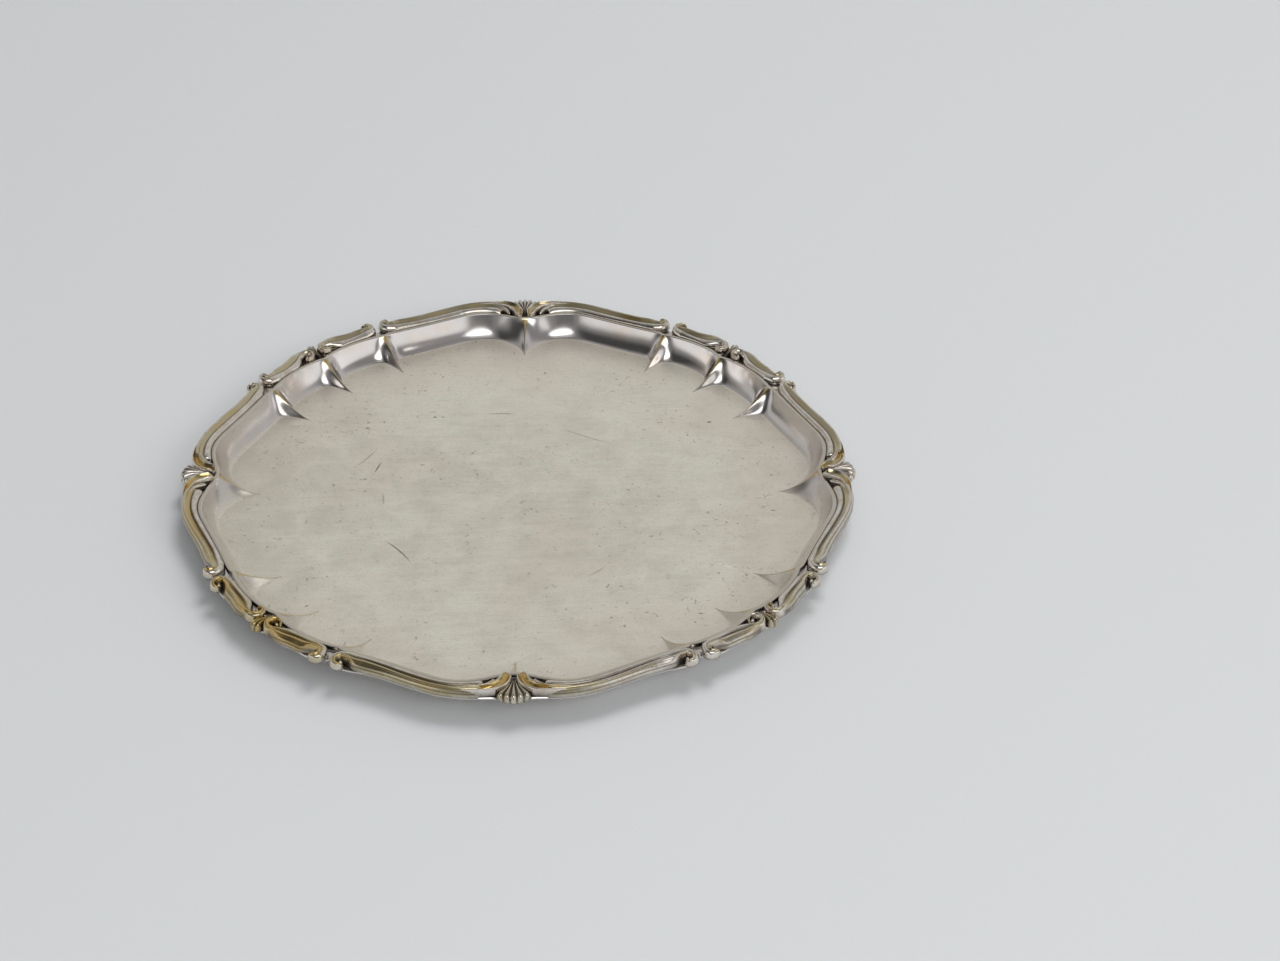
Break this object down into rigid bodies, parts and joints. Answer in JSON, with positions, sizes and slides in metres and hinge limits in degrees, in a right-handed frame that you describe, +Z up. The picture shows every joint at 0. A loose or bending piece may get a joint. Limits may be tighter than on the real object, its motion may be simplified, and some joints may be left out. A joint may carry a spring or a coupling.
{
  "type": "serving tray",
  "caption": "Round plated serving tray with a flat well, a crimped sloping wall and a lobed border of cast scrolls, fan shells and buds.",
  "frame": {"origin": "centre of the well's underside, on the surface that the tray rests on", "axes": "+Z up, out of the well; the four shells lie on +X, +Y, -X and -Y"},
  "size_m": [0.3048, 0.3048, 0.0156],
  "materials": {
    "sheet_plate": "worn silver plate, dull and scratched in the well, polished on the wall",
    "scroll_plate": "polished silver plate, worn to yellow brass on the crests",
    "shell_plate": "silver plate worn to brass on the ribs, dark in the grooves"
  },
  "bodies": {
    "root": {"tray_sheet": "sheet_plate", "long_scroll_1": "scroll_plate", "long_scroll_2": "scroll_plate", "long_scroll_3": "scroll_plate", "long_scroll_4": "scroll_plate", "long_scroll_5": "scroll_plate", "long_scroll_6": "scroll_plate", "long_scroll_7": "scroll_plate", "long_scroll_8": "scroll_plate", "short_scroll_1": "scroll_plate", "short_scroll_2": "scroll_plate", "short_scroll_3": "scroll_plate", "short_scroll_4": "scroll_plate", "short_scroll_5": "scroll_plate", "short_scroll_6": "scroll_plate", "short_scroll_7": "scroll_plate", "short_scroll_8": "scroll_plate", "shell_right": "shell_plate", "shell_back": "shell_plate", "shell_left": "shell_plate", "shell_front": "shell_plate", "bud_1": "shell_plate", "bud_2": "shell_plate", "bud_3": "shell_plate", "bud_4": "shell_plate"}
  },
  "joints": []
}
